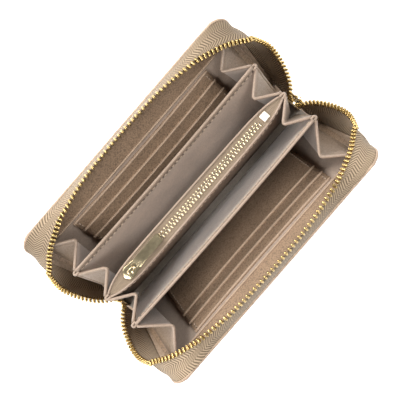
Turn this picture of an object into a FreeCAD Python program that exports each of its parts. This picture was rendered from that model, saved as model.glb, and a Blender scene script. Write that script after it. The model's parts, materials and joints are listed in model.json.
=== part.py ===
import FreeCAD, Part
import math
import os

# Zip around wallet, standing open on its spine like a book on its back.
# X runs along the spine, +Y is the back cover's side, Z points up from the spine.
# The origin is the middle of the spine's underside. All lengths are millimetres.
#
# Every leaf is drawn as it lies when the wallet is shut, in the back half (Y above 0).
# The front half is the mirror of it, and then each leaf is turned open about its hinge.

Vector = FreeCAD.Vector

# ---- Driving dimensions -------------------------------------------------------------

cover_length = 150.0          # along the spine
cover_height = 90.0           # from the hinge line to the top edge
cover_corner = 10.0           # radius of the two outer corners
foot_corner = 3.0             # radius of the two corners beside the spine

leather = 1.2                 # outer leather
board = 0.8                   # stiffener glued inside the cover
facing = 0.6                  # grained leather that lines the cover
turned_edge = 0.45            # easing of the turned leather edge
board_inset = 2.6             # edge of the cover to the edge of its board
facing_inset = 2.2            # edge of the cover to the edge of its facing

spine_half = 11.0             # middle of the wallet to each hinge line
spine_lining = 0.6
lining_margin = 2.0           # spine lining to the ends of the spine
lining_clearance = 0.5        # spine lining to the hinge lines

back_open = 28.0              # how far each leaf stands open, in degrees
back_divider_open = 14.6
coin_pocket_lean = 3.4
front_divider_open = 6.8
front_open = 26.0
open_further = 12.0           # what a cover still has left to open
fold_gap = 2.0                # degrees kept free between the spine's roll and a cover

slot_half = 52.0              # half the width of the card slots
slot_leather = 0.7
slot_drops = (20.5, 30.5, 40.5)  # cover's top edge down to each card slot's mouth
slot_sag = 1.3                # how far a slot's mouth dips in the middle
slot_foot = 9.0               # seam under the card slots
slip_fabric = 0.4             # fabric pocket behind the card slots
slip_inset = 9.0              # end of the cover to the side of the slip pocket
slip_drop = 18.0              # cover's top edge down to the slip pocket's
slip_foot = 7.0

divider_inset = 7.6           # end of the cover to the side of a divider
divider_drop = 15.6           # cover's top edge down to a divider's
divider_foot_y = 5.1          # how far from the middle a divider stands when shut
divider_top_y = 6.3
divider_foot_z = 3.8
divider_leather = 0.6
divider_fabric = 0.5
binding = 0.35                # leather turned over the divider's top edge
binding_depth = 3.6
binding_crown = 0.85          # height of its rounded top above the panels

coin_inset = 9.0              # end of the cover to the coin pocket's
coin_drop = 17.6              # cover's top edge down to the coin pocket's mouth
coin_foot = 3.6
coin_leather = 0.8
coin_belly = 3.9              # half the pocket's mouth in the middle
coin_flare = 0.008            # how much wider the mouth gets per mm towards -X
coin_shoulder = 8             # how squarely the mouth runs to its pointed ends
coin_end_gap = 0.25           # half the gap between the walls at their ends
coin_pinch = 0.05             # width at the foot, as a share of the mouth's
coin_waist = 0.62             # width halfway down, as a share of the mouth's
coin_tape_gap = 0.15          # tape to the wall
coin_zip_depth = 0.4          # middle of the coin zip's chain below the mouth
coin_chain_insets = (17.0, 16.2)     # ends of the pocket to the ends of the chain
coin_slider_inset = 0.3       # start of the chain to the middle of the slider

gusset = 0.6                  # thickness of a gusset's wall
gusset_clearance = 0.35       # gusset to the leaf it is sewn to
gusset_roll = 1.4             # middle of a leaf to the gusset on either side of it
gusset_depth = 12.3           # how far a gusset folds inward at the top
gusset_depth_foot = 5.3       # and beside the spine
gusset_foot = 5.5
gusset_drop = 17.6            # cover's top edge down to the folds' tops
gusset_seam_inset = 5.0       # end of the cover to the seam of its gusset
gusset_seam_drop = 14.6

zip_pitch = 2.54
zip_tooth = (2.9, 1.25, 2.4)  # reach across the chain, width along it, thickness
tooth_back = 0.42             # share of the reach that lies on the tape's side
tooth_gap = 0.15              # back of a tooth to the edge of its tape
slider_inset = 1.45           # seam of the tape to the closed chain at the spine
slider_row = 2.1              # middle of the wallet to a row of teeth inside the slider
tape = 0.5
tape_seam = 0.8               # edge of the cover to the seam of its tape
zip_tail_top = 10.2           # how high the tapes' joined ends stand above the floor
zip_tail_foot = 4.2           # half their width at the spine
zip_tail_neck = 3.2           # and at the top
coin_zip_pitch = 2.04
coin_tooth = (2.2, 0.9, 1.8)
coin_tooth_gap = 0.05
end_plate = (4.1, 2.2, 0.3)   # side, height and easing of the stop that ends the chain
end_plate_gap = 1.2
coin_stop = (1.6, 1.3, 1.6)   # each clip that starts a row
coin_stop_gap = 0.7
coin_stop_y = 1.35

main_puller_length = 17.6     # from its pivot to its end
coin_puller_length = 22.2
puller_width = 5.2
puller_plate = 1.1
puller_corner = 0.7           # rounding of its two free corners

hinge_height = leather + board + facing      # hinge axis, level with the facing's face
cover_top = hinge_height + cover_height
half = cover_length / 2
slip_half = half - slip_inset
divider_half = half - divider_inset
divider_foot = (divider_foot_y, divider_foot_z)
divider_top = (divider_top_y, cover_top - divider_drop)
divider_slope = (divider_top[0] - divider_foot[0]) / (divider_top[1] - divider_foot[1])
coin_half = half - coin_inset
coin_top = cover_top - coin_drop
gusset_top = cover_top - gusset_drop


# ---- Small tools -------------------------------------------------------------------

def polygon_face(points):
    return Part.Face(Part.makePolygon([Vector(*p) for p in points + points[:1]]))


def smooth_curve(points, parameters):
    curve = Part.BSplineCurve()
    curve.interpolate(Points=[Vector(*p) for p in points], Parameters=parameters)
    return curve


def faceted(sections):
    """A sheet as a closed skin of flat facets. Each section lists the points of one side
    and then, backwards, those of the other."""
    count = len(sections[0])
    flats = []
    for low, high in zip(sections, sections[1:]):
        for k in range(count):
            a, b, c, d = low[k], low[(k + 1) % count], high[(k + 1) % count], high[k]
            flats += [[a, b, c], [a, c, d]]
    for end in (sections[0], sections[-1]):
        flats += [[end[k], end[k + 1], end[-k - 2], end[-k - 1]] for k in range(count // 2 - 1)]
    skin = Part.Shell([polygon_face(f) for f in flats])
    skin.sewShape()
    solid = Part.Solid(skin)
    if solid.Volume < 0:
        solid.reverse()
    return solid


def outline(x_half, z_low, z_high, r_low, r_high, y):
    """A rounded rectangle standing in the XZ plane, as a face."""
    corners = (
        (x_half, z_low, r_low, -90), (x_half, z_high, r_high, 0),
        (-x_half, z_high, r_high, 90), (-x_half, z_low, r_low, 180),
    )
    ends, edges = [], []
    for x, z, r, start in corners:
        cx = x - math.copysign(r, x)
        cz = z - r if z == z_high else z + r
        arc = [Vector(cx + r * math.cos(math.radians(start + a)), y,
                      cz + r * math.sin(math.radians(start + a))) for a in (0, 45, 90)]
        edges.append(Part.Arc(*arc).toShape())
        ends.append((arc[0], arc[2]))
    for k in range(4):
        edges.append(Part.LineSegment(ends[k][1], ends[(k + 1) % 4][0]).toShape())
    return Part.Face(Part.Wire(Part.__sortEdges__(edges)))


def panel(x_half, z_low, z_high, r_low, r_high, y, thickness):
    return outline(x_half, z_low, z_high, r_low, r_high, y).extrude(Vector(0, thickness, 0))


def opened(shape, degrees, y=spine_half):
    """Turns a shape of the back half open about the hinge line at that Y."""
    shape = shape.copy()
    shape.rotate(Vector(0, y, hinge_height), Vector(1, 0, 0), -degrees)
    return shape


def opened_point(point, degrees, y=spine_half):
    turn = FreeCAD.Rotation(Vector(1, 0, 0), -degrees)
    axis = Vector(0, y, hinge_height)
    return turn.multVec(Vector(*point) - axis) + axis


def to_front(shape):
    return shape.mirror(Vector(0, 0, 0), Vector(0, 1, 0))


def save(name, shape):
    solids = shape.Solids
    if not all(s.isValid() for s in solids):
        print("not valid:", name)
    out = solids[0] if len(solids) == 1 else Part.makeCompound(solids)
    out.exportStep(os.path.join("parts", name + ".step"))
    print(f"{name}: {len(solids)} solid(s), {out.Volume:.1f} mm3")


# ---- Covers ------------------------------------------------------------------------

def cover_leather():
    """Outer leather of one cover, its outer edge turned over and so eased."""
    skin = panel(half, hinge_height, cover_top, foot_corner, cover_corner,
                 spine_half + facing + board, leather)
    outer_face = spine_half + facing + board + leather
    rim = [e for e in skin.Edges if all(abs(v.Y - outer_face) < 0.01 for v in e.Vertexes)]
    return skin.makeChamfer(turned_edge, rim)


def cover_board():
    return panel(half - board_inset, hinge_height + board_inset, cover_top - board_inset,
                 foot_corner, cover_corner - board_inset, spine_half + facing, board)


def cover_facing():
    return panel(half - facing_inset, hinge_height + facing_inset, cover_top - facing_inset,
                 foot_corner, cover_corner - facing_inset, spine_half, facing)


def slip_pocket():
    return panel(slip_half, hinge_height + slip_foot, cover_top - slip_drop,
                 foot_corner, foot_corner, spine_half - slip_fabric, slip_fabric)


def card_slot(k):
    """Leather of card slot k, the first being the top one and the deepest in the stack."""
    y = spine_half - slip_fabric - (k + 1) * slot_leather
    low, high = hinge_height + slot_foot, cover_top - slot_drops[k]
    a, b = Vector(-slot_half, y, low), Vector(slot_half, y, low)
    c, d = Vector(slot_half, y, high), Vector(-slot_half, y, high)
    mouth = Part.Arc(c, Vector(0, y, high - slot_sag), d).toShape()
    sides = [Part.makeLine(a, b), Part.makeLine(b, c), mouth, Part.makeLine(d, a)]
    return Part.Face(Part.Wire(sides)).extrude(Vector(0, slot_leather, 0))


# ---- Main zip ----------------------------------------------------------------------

# How the tape flares from the cover's edge, from the spine to the middle of the top:
# where on the edge, how far beyond the edge, and how far towards the other cover.
side_flare = (
    (6.4, -slider_inset, spine_half + 2.5), (10.4, -slider_inset, spine_half + 3.9),
    (14.4, -slider_inset, spine_half + 4.9), (19.5, 1.6, spine_half + 4.4),
    (27.0, 5.6, spine_half + 2.1),
    (cover_height - 51.4, 8.8, 9.2), (cover_height - 37.5, 8.8, 6.6),
    (cover_height - 24.5, 5.6, 7.0),
)
# Round the corner the tape is too short to follow the edge, so the teeth cut across it:
# degrees along the edge's arc, then X and Z from the arc's centre, then the rise.
corner_flare = ((10, 10.2, -7.3, 8.6), (45, 3.4, 0.3, 8.2), (80, -5.0, 6.2, 7.9))
top_flare = ((half - 28, 3.6, 7.9), (half - 42, 7.0, 7.4), (half - 58, 8.2, 6.8), (0, 8.4, 6.5))
tape_steps = 4                # straight steps of the tape between two stations


def zip_stations():
    """Seam point and tooth point of the tape at each station of one half, spine to middle."""
    edge = half - tape_seam
    top = cover_top - tape_seam
    seam_y = spine_half + facing + tape / 2
    stations = []
    for h, beyond, rise in side_flare:
        z = hinge_height + h
        stations.append(((edge, seam_y, z), (edge + beyond, spine_half - rise, z)))
    r = cover_corner - tape_seam
    cx, cz = edge - r, top - r
    for degrees, dx, dz, rise in corner_flare:
        c, s = math.cos(math.radians(degrees)), math.sin(math.radians(degrees))
        seam = (cx + r * c, seam_y, cz + r * s)
        stations.append((seam, (cx + dx, spine_half - rise, cz + dz)))
    for x, beyond, rise in top_flare:
        stations.append(((x, seam_y, top), (x, spine_half - rise, top + beyond)))
    return stations


def seam_and_tooth_lines():
    """The tape's seam and its row of teeth as two curves that share their parameter."""
    right = zip_stations()
    left = [tuple((-x, y, z) for x, y, z in s) for s in reversed(right[:-1])]
    seams, teeth = zip(*(right + left))
    parameters = [0.0]
    for a, b in zip(seams, seams[1:]):
        parameters.append(parameters[-1] + (Vector(*b) - Vector(*a)).Length)
    return smooth_curve(seams, parameters), smooth_curve(teeth, parameters), parameters


def tape_frame(seam_line, tooth_line, parameter):
    """Seam point, tooth point, and the directions along, across and through the tape there."""
    seam, tooth = seam_line.value(parameter), tooth_line.value(parameter)
    along = tooth_line.tangent(parameter)[0]
    across = (tooth - seam).normalize()
    through = (along + seam_line.tangent(parameter)[0]).cross(across).normalize()
    return seam, tooth, along, across, through


def zip_tape():
    """Woven tape from its seam in the cover to the backs of the teeth."""
    seam_line, tooth_line, parameters = seam_and_tooth_lines()
    steps = [a + (b - a) * k / tape_steps
             for a, b in zip(parameters, parameters[1:]) for k in range(tape_steps)]
    sections = []
    for parameter in steps + parameters[-1:]:
        seam, tooth, along, across, through = tape_frame(seam_line, tooth_line, parameter)
        side = through * (tape / 2)
        squareness = across.cross(along).Length
        end = tooth - across * ((zip_tooth[0] * tooth_back + tooth_gap) / squareness)
        sections.append([seam - side, end - side, end + side, seam + side])
    return faceted(sections)


def zip_teeth():
    seam_line, tooth_line, _ = seam_and_tooth_lines()
    line = tooth_line.toShape()
    count = int(line.Length / zip_pitch)
    margin = (line.Length - (count - 1) * zip_pitch) / 2
    row = []
    for k in range(count):
        parameter = line.getParameterByLength(margin + k * zip_pitch)
        _, tooth, along, across, _ = tape_frame(seam_line, tooth_line, parameter)
        across = (across - along * across.dot(along)).normalize()
        row.append(tooth_solid(tooth, along, across, zip_tooth))
    return Part.makeCompound(row)


def tooth_solid(centre, along, across, size):
    """One cast tooth: thick where it grips the tape, tapering to the head that interlocks."""
    reach, width, thickness = size
    up = along.cross(across).normalize()
    back, waist, head = -reach * tooth_back, reach * 0.1, reach * (1 - tooth_back)
    profile = ((back, 0.5), (waist, 0.5), (head, 0.3), (head, -0.3), (waist, -0.5), (back, -0.5))
    start = centre - along * (width / 2)
    points = [start + across * d + up * (b * thickness) for d, b in profile]
    return Part.Face(Part.makePolygon(points + points[:1])).extrude(along * width)


def top_stop():
    """Clip that ends a row of teeth at the -X end of the spine."""
    seam, tooth = zip_stations()[0]
    reach, width, thickness = zip_tooth
    return Part.makeBox(thickness, reach * 0.75, width + 0.5,
                        Vector(-tooth[0] - thickness / 2, tooth[1] - reach * 0.1,
                               tooth[2] - zip_pitch * 1.3))


# ---- Slider and puller, shared by both zips -----------------------------------------

slider_plate = 0.8
slider_play = 0.35            # tooth to the slider's plate
flange_gap = 0.8              # half the slot that the tape runs in
slider_length = 10.2
slider_wall = 0.5             # thickness of its flanges
slider_shoulder = 0.35        # widest place, as a share of the way from middle to mouth
tail_easing = 0.8             # how far the corners at the tail are cut back
mouth_easing = (1.4, 0.9)     # the same at the mouth, along the chain and across it
mouth_flare = 0.8             # how much wider each side is at the mouth than at the tail
post_size = (2.4, 1.2)        # the wedge that parts the teeth, along and across
post_inset = 0.9
crown_half = 0.8
crown_reach = 2.2
crown_wall = 0.6
crown_easing = 0.5
pivot_height = 0.75           # puller's pivot above the slider's plate
puller_grip = 4.2             # length of the straight neck round the window
puller_neck = 1.9             # half its width
window_half = 1.1
window_bar = 0.3              # neck left beyond the window


def slider(tooth_thickness, chain_half):
    """Slider with its mouth towards -X and its crown on top, chain along X at Z = 0."""
    tail = chain_half + 0.2 + slider_wall
    mouth = tail + mouth_flare
    inside = tooth_thickness / 2 + slider_play
    front, back = -slider_length / 2, slider_length / 2
    shoulder = front * slider_shoulder
    ease_along, ease_across = mouth_easing
    side = [(front + ease_along, mouth - ease_across), (shoulder, mouth),
            (back - tail_easing, tail), (back, tail - tail_easing)]
    rim = [(front, 0.0)] + side + [(x, -y) for x, y in reversed(side)]
    plate = polygon_face([(x, y, inside) for x, y in rim]).extrude(Vector(0, 0, slider_plate))
    lower = plate.mirror(Vector(0, 0, 0), Vector(0, 0, 1))
    post_length, post_width = post_size
    post = Part.makeBox(post_length, post_width, 2 * inside,
                        Vector(front + post_inset, -post_width / 2, -inside))
    flank = polygon_face([
        (shoulder, mouth, 0), (back - tail_easing, tail, 0),
        (back - tail_easing, tail - slider_wall, 0), (shoulder, mouth - slider_wall, 0)])
    height = inside - flange_gap
    flanges = []
    for z in (flange_gap, -inside):
        strip = flank.extrude(Vector(0, 0, height))
        strip.translate(Vector(0, 0, z))
        flanges += [strip, strip.mirror(Vector(0, 0, 0), Vector(0, 1, 0))]
    top = inside + slider_plate
    arch_height = 2 * pivot_height
    outer = Part.makeBox(2 * crown_reach, 2 * crown_half, arch_height + crown_wall,
                         Vector(-crown_reach, -crown_half, top))
    gap = Part.makeBox(2 * (crown_reach - crown_wall), 2 * crown_half, arch_height,
                       Vector(-crown_reach + crown_wall, -crown_half, top))
    crown = outer.cut(gap)
    ridge = [e for e in crown.Edges
             if all(abs(v.Z - top - arch_height - crown_wall) < 0.01 for v in e.Vertexes)
             and abs(e.Vertexes[0].X - e.Vertexes[-1].X) < 0.01]
    crown = crown.makeFillet(crown_easing, ridge)
    return plate.multiFuse([lower, post, crown] + flanges).removeSplitter()


def puller(length):
    """Puller that lies flat towards +X, pivoting about Y at the origin."""
    eye = puller_plate / 2
    neck = Part.makeBox(puller_grip, 2 * puller_neck, puller_plate, Vector(0, -puller_neck, -eye))
    plate = Part.makeBox(length - puller_grip, puller_width, puller_plate,
                         Vector(puller_grip, -puller_width / 2, -eye))
    corners = [e for e in plate.Edges if all(abs(v.X - length) < 0.01 for v in e.Vertexes)
               and abs(e.Vertexes[0].Z - e.Vertexes[-1].Z) > 0.5 * puller_plate]
    plate = plate.makeFillet(puller_corner, corners)
    window = Part.makeBox(puller_grip - window_bar, 2 * window_half, puller_plate,
                          Vector(0, -window_half, -eye))
    pin = Part.makeCylinder(eye, 2 * puller_neck, Vector(0, -puller_neck, 0), Vector(0, 1, 0))
    return neck.cut(window).multiFuse([plate, pin]).removeSplitter()


def pivot_above(tooth_thickness):
    """Height of the puller's pivot above the middle of the chain."""
    return tooth_thickness / 2 + slider_play + slider_plate + pivot_height


# ---- Spine -------------------------------------------------------------------------

def spine_leather():
    """Flat strip under the wallet, rolled up at both sides to meet the covers."""
    roll = 90 - max(back_open, front_open) - open_further - fold_gap
    r_in, r_out = facing + board, hinge_height

    def at(r, degrees, side):
        a = math.radians(degrees)
        return Vector(-half, side * (spine_half + r * math.cos(a)), hinge_height + r * math.sin(a))

    edges = []
    for side in (1, -1):
        low, mid, high = -90, -90 + roll / 2, -90 + roll
        outer = [at(r_out, d, side) for d in (low, mid, high)]
        inner = [at(r_in, d, side) for d in (low, mid, high)]
        edges += [Part.Arc(*outer).toShape(), Part.Arc(*inner).toShape(),
                  Part.makeLine(outer[2], inner[2])]
    edges.append(Part.makeLine(at(r_out, -90, 1), at(r_out, -90, -1)))
    edges.append(Part.makeLine(at(r_in, -90, 1), at(r_in, -90, -1)))
    wire = Part.Wire(Part.__sortEdges__(edges))
    return Part.Face(wire).extrude(Vector(cover_length, 0, 0))


def spine_lining_strip():
    width = 2 * (spine_half - lining_clearance)
    return Part.makeBox(cover_length - 2 * lining_margin, width, spine_lining,
                        Vector(-half + lining_margin, -width / 2, leather))


def zip_tail(side):
    """The joined end of the two tapes, turned down and sewn to the spine."""
    x = side * (half - tape_seam - slider_inset) - tape / 2
    foot, top = leather + spine_lining, zip_tail_top
    corners = [(-zip_tail_foot, foot), (zip_tail_foot, foot),
               (zip_tail_neck, top), (-zip_tail_neck, top)]
    return polygon_face([(x, y, z) for y, z in corners]).extrude(Vector(tape, 0, 0))


# ---- Dividers ----------------------------------------------------------------------

def divider_slab(inner, outer, low, high):
    """A slab of the divider between two depths either side of its middle."""
    y_low = divider_foot[0] + (low - divider_foot[1]) * divider_slope
    y_high = divider_foot[0] + (high - divider_foot[1]) * divider_slope
    face = polygon_face([(-divider_half, y_low + inner, low), (-divider_half, y_low + outer, low),
                         (-divider_half, y_high + outer, high),
                         (-divider_half, y_high + inner, high)])
    return face.extrude(Vector(2 * divider_half, 0, 0))


def divider_leather_panel():
    return divider_slab(0, divider_leather, divider_foot[1], divider_top[1])


def divider_fabric_panel():
    return divider_slab(-divider_fabric, 0, divider_foot[1], divider_top[1])


def divider_binding():
    """Leather turned over the top edge, a rounded channel along its whole length."""
    y = divider_top[0]
    low, high = divider_top[1] - binding_depth, divider_top[1]
    shift = -binding_depth * divider_slope
    inner, outer = y - divider_fabric, y + divider_leather
    middle = (inner + outer) / 2

    def p(y_, z_):
        return Vector(-divider_half, y_, z_)

    edges = [
        Part.makeLine(p(inner + shift, low), p(inner, high)),
        Part.makeLine(p(inner, high), p(outer, high)),
        Part.makeLine(p(outer, high), p(outer + shift, low)),
        Part.makeLine(p(outer + shift, low), p(outer + binding + shift, low)),
        Part.makeLine(p(outer + binding + shift, low), p(outer + binding, high)),
        Part.Arc(p(outer + binding, high), p(middle, high + binding_crown),
                 p(inner - binding, high)).toShape(),
        Part.makeLine(p(inner - binding, high), p(inner - binding + shift, low)),
        Part.makeLine(p(inner - binding + shift, low), p(inner + shift, low)),
    ]
    return Part.Face(Part.Wire(edges)).extrude(Vector(2 * divider_half, 0, 0))


# ---- Coin pocket -------------------------------------------------------------------

def coin_mouth(x):
    """Half the inside width of the coin pocket's mouth at that X."""
    fullness = 1 - abs(x / coin_half) ** coin_shoulder
    return (coin_belly - coin_flare * x) * fullness + coin_end_gap


coin_stations = [coin_half * f for f in
                 (-1, -0.97, -0.93, -0.88, -0.8, -0.7, -0.5, -0.25, 0,
                  0.25, 0.5, 0.7, 0.8, 0.88, 0.93, 0.97, 1)]


def coin_wall():
    """One leather wall, shut along its foot and bellied out towards its mouth."""
    rows = ((coin_foot, coin_pinch), ((coin_foot + coin_top) / 2, coin_waist), (coin_top, 1))
    sections = []
    for x in coin_stations:
        inner = [(x, coin_mouth(x) * share, z) for z, share in rows]
        outer = [(x, y + coin_leather, z) for x, y, z in reversed(inner)]
        sections.append(inner + outer)
    return faceted(sections)


coin_chain_start, coin_chain_end = coin_chain_insets[0] - coin_half, coin_half - coin_chain_insets[1]
coin_slider_x = coin_chain_start + coin_slider_inset
coin_level = coin_top - coin_zip_depth


def coin_tape():
    """Tape between the wall's mouth and the row of teeth."""
    inner = coin_tooth[0] * (0.5 + tooth_back) + coin_tooth_gap
    low, high = coin_level - tape / 2, coin_level + tape / 2
    sections = []
    for x in coin_stations[3:-4]:
        outer = coin_mouth(x) - coin_tape_gap
        sections.append([(x, inner, low), (x, outer, low), (x, outer, high), (x, inner, high)])
    return faceted(sections)


def coin_teeth(side):
    """A row of the coin zip, meshed with the other row half a pitch away."""
    length = coin_chain_end - coin_chain_start
    count = int(length / coin_zip_pitch)
    shift = 0 if side > 0 else coin_zip_pitch / 2
    row = []
    for k in range(count):
        x = coin_chain_start + shift + k * coin_zip_pitch + coin_tooth[1] / 2
        centre = Vector(x, side * coin_tooth[0] * 0.5, coin_level)
        row.append(tooth_solid(centre, Vector(1, 0, 0), Vector(0, -side, 0), coin_tooth))
    return Part.makeCompound(row)


def coin_end_plate():
    """Square metal stop where the coin zip's chain ends."""
    size, height, easing = end_plate
    cap = Part.makeBox(size, size, height, Vector(coin_chain_end + end_plate_gap, -size / 2,
                                                  coin_level - height / 2))
    top = [e for e in cap.Edges
           if all(abs(v.Z - coin_level - height / 2) < 0.01 for v in e.Vertexes)]
    return cap.makeChamfer(easing, top)


def coin_top_stops():
    length, width, height = coin_stop
    x = coin_chain_start - coin_stop_gap - length
    return Part.makeCompound([
        Part.makeBox(length, width, height,
                     Vector(x, side * coin_stop_y - width / 2, coin_level - height / 2))
        for side in (1, -1)])


# ---- Gussets -----------------------------------------------------------------------

def leaf_lines():
    """Where the leaves' side edges stand, as foot and top points, from back to front."""
    foot_z, top_z = gusset_foot, gusset_top
    cover_y = spine_half - gusset_clearance - gusset
    cover = ((half - gusset_seam_inset, cover_y, foot_z + 2.0),
             (half - gusset_seam_inset, cover_y, cover_top - gusset_seam_drop))
    edge = divider_half + gusset_clearance + gusset
    divider = tuple((edge, divider_foot[0] + (z - divider_foot[1]) * divider_slope, z)
                    for z in (foot_z, top_z))
    coin = tuple((coin_half + coin_leather + gusset_clearance + gusset, 0.0, z)
                 for z in (foot_z, top_z))
    return cover, divider, coin


def gusset_fold_solid(line_a, line_b, side):
    """A wall of leather folded once, between two leaves, narrowing towards the spine."""
    sections = []
    peak_x = divider_half + gusset_clearance + gusset
    for k, fold_x in ((0, peak_x - gusset_depth_foot), (1, peak_x - gusset_depth)):
        (a, clear_a), (b, clear_b) = line_a[k], line_b[k]
        towards = 1 if b.y > a.y else -1
        a, b = a + Vector(0, towards * clear_a, 0), b - Vector(0, towards * clear_b, 0)
        fold = Vector(fold_x, (a.y + b.y) / 2, (a.z + b.z) / 2)
        deeper = Vector(fold_x - gusset, fold.y, fold.z)
        section = [a, fold, b, b - Vector(gusset, 0, 0), deeper, a - Vector(gusset, 0, 0)]
        sections.append([Vector(side * p.x, p.y, p.z) for p in section])
    return faceted(sections)


# ---- Build every piece -------------------------------------------------------------

os.makedirs("parts", exist_ok=True)

leaves = {
    "back": (lambda s: opened(s, back_open), lambda s: opened(s, back_divider_open)),
    "front": (lambda s: to_front(opened(s, front_open)),
              lambda s: to_front(opened(s, front_divider_open))),
}
cover_pieces = {
    "cover_leather": cover_leather(), "cover_board": cover_board(),
    "cover_facing": cover_facing(), "slip_pocket": slip_pocket(),
    "card_slot_top": card_slot(0), "card_slot_middle": card_slot(1),
    "card_slot_bottom": card_slot(2),
    "zip_tape": zip_tape(), "zip_teeth": zip_teeth(), "zip_top_stop": top_stop(),
}
divider_pieces = {
    "divider_leather": divider_leather_panel(), "divider_fabric": divider_fabric_panel(),
    "divider_binding": divider_binding(),
}
for half_name, (open_cover, open_divider) in leaves.items():
    for name, shape in cover_pieces.items():
        save(f"{half_name}_{name}", open_cover(shape))
    for name, shape in divider_pieces.items():
        save(f"{half_name}_{name}", open_divider(shape))


def lean(shape):
    return opened(shape, coin_pocket_lean, y=0)


wall = coin_wall()
coin_band = coin_tape()
save("coin_pocket_back_wall", lean(wall))
save("coin_pocket_front_wall", lean(to_front(wall)))
save("coin_zip_back_tape", lean(coin_band))
save("coin_zip_front_tape", lean(to_front(coin_band)))
save("coin_zip_back_teeth", lean(coin_teeth(1)))
save("coin_zip_front_teeth", lean(coin_teeth(-1)))
save("coin_zip_end_plate", lean(coin_end_plate()))
save("coin_zip_top_stops", lean(coin_top_stops()))

coin_slider = slider(coin_tooth[2], coin_tooth[0] * (0.5 + tooth_back))
coin_slider.translate(Vector(coin_slider_x, 0, coin_level))
save("coin_zip_slider", lean(coin_slider))
coin_puller = puller(coin_puller_length)
coin_puller.translate(Vector(coin_slider_x, 0, coin_level + pivot_above(coin_tooth[2])))
save("coin_zip_puller", lean(coin_puller))

main_slider_x = half - tape_seam - slider_inset
main_slider_z = 18.4
mouth_up = FreeCAD.Rotation(Vector(0, 1, 0), 90)
main_slider = slider(zip_tooth[2], slider_row + zip_tooth[0] * tooth_back)
main_slider.Placement = FreeCAD.Placement(Vector(main_slider_x, 0, main_slider_z), mouth_up)
save("main_zip_slider", main_slider)
main_puller = puller(main_puller_length)
main_puller.Placement = FreeCAD.Placement(
    Vector(main_slider_x + pivot_above(zip_tooth[2]), 0, main_slider_z), mouth_up)
save("main_zip_puller", main_puller)

save("spine_leather", spine_leather())
save("spine_lining", spine_lining_strip())
save("zip_tail_left", zip_tail(-1))
save("zip_tail_right", zip_tail(1))
stop_size = (3.2, 4.4, 2.6)
stop = Part.makeBox(*stop_size)
stop.translate(Vector(main_slider_x - stop_size[0] / 2, -stop_size[1] / 2, zip_tail_top))
save("main_zip_bottom_stop", stop)

cover_line, divider_edge, coin_line = leaf_lines()


def stand(line, clearance, degrees, y=spine_half, mirrored=False):
    """Foot and top of a leaf's edge as it stands open, with the room a gusset leaves it."""
    points = [opened_point(p, degrees, y) for p in line]
    if mirrored:
        points = [Vector(p.x, -p.y, p.z) for p in points]
    return [(p, clearance) for p in points]


coin_here = stand(coin_line, gusset_roll, coin_pocket_lean, y=0)
edges = {
    "back": (stand(cover_line, 0, back_open),
             stand(divider_edge, gusset_roll, back_divider_open)),
    "front": (stand(cover_line, 0, front_open, mirrored=True),
              stand(divider_edge, gusset_roll, front_divider_open, mirrored=True)),
}
for half_name, (cover_edge, divider_side) in edges.items():
    for end_name, side in (("left", -1), ("right", 1)):
        save(f"{half_name}_{end_name}_gusset_outer",
             gusset_fold_solid(cover_edge, divider_side, side))
        save(f"{half_name}_{end_name}_gusset_inner",
             gusset_fold_solid(divider_side, coin_here, side))
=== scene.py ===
# %% [markdown]
# # A zip around wallet standing open
# The hard parts of this wallet were drawn first as solids. This lesson dresses them: leather,
# satin, woven tape, thread and gold-coloured metal. We work in metres, in the solids' own
# frame: X along the spine, +Y towards the back cover, Z up from the table.
# The solids come in as the frame, and we keep their box; its lowest point sets the table's height.
# %% Load the frame
import json
import math

import bmesh
import bpy
import numpy as np
from mathutils import Matrix, Vector


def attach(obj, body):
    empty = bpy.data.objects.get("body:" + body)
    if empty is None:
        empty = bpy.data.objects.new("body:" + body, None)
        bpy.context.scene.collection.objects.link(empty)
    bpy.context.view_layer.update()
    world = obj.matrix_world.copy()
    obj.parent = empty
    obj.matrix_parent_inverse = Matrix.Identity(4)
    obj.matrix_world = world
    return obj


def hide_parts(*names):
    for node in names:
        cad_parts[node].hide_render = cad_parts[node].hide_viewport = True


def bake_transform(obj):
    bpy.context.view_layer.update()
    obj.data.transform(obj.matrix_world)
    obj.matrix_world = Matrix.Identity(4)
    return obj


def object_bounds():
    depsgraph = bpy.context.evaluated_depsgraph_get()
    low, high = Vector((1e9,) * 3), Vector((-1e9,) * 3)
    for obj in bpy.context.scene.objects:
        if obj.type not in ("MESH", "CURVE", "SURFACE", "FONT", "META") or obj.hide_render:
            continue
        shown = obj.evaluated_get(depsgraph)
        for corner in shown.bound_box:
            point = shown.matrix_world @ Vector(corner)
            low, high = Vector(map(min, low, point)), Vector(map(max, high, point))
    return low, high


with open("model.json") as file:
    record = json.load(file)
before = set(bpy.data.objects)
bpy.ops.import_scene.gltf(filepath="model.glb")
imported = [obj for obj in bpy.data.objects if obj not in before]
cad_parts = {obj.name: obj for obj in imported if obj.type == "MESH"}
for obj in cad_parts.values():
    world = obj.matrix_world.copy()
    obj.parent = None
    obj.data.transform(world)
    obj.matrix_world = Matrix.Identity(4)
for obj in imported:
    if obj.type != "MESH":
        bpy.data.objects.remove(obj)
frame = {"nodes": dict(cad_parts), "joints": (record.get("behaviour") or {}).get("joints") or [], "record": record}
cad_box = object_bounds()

MM = 0.001
joints = {j["name"]: j for j in frame["joints"]}
print("solids:", len(frame["nodes"]), "box mm:", [round(v / MM, 1) for v in cad_box[0]],
      [round(v / MM, 1) for v in cad_box[1]])

# %% [markdown]
# ## Leaves that open like pages
# A wallet like this is a stack of leaves sewn to one spine. A leaf is easiest to model as it
# lies when the wallet is shut, upright beside the middle. So each leaf gets a helper that
# turns a point from there to where the leaf stands open, and one that turns it back, which
# lets us measure any solid in the leaf's own plane. The covers' angle is measured on a flat
# solid. The inner leaves' angle is what their joints have left to travel until shut.
# %% Where each leaf stands


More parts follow.
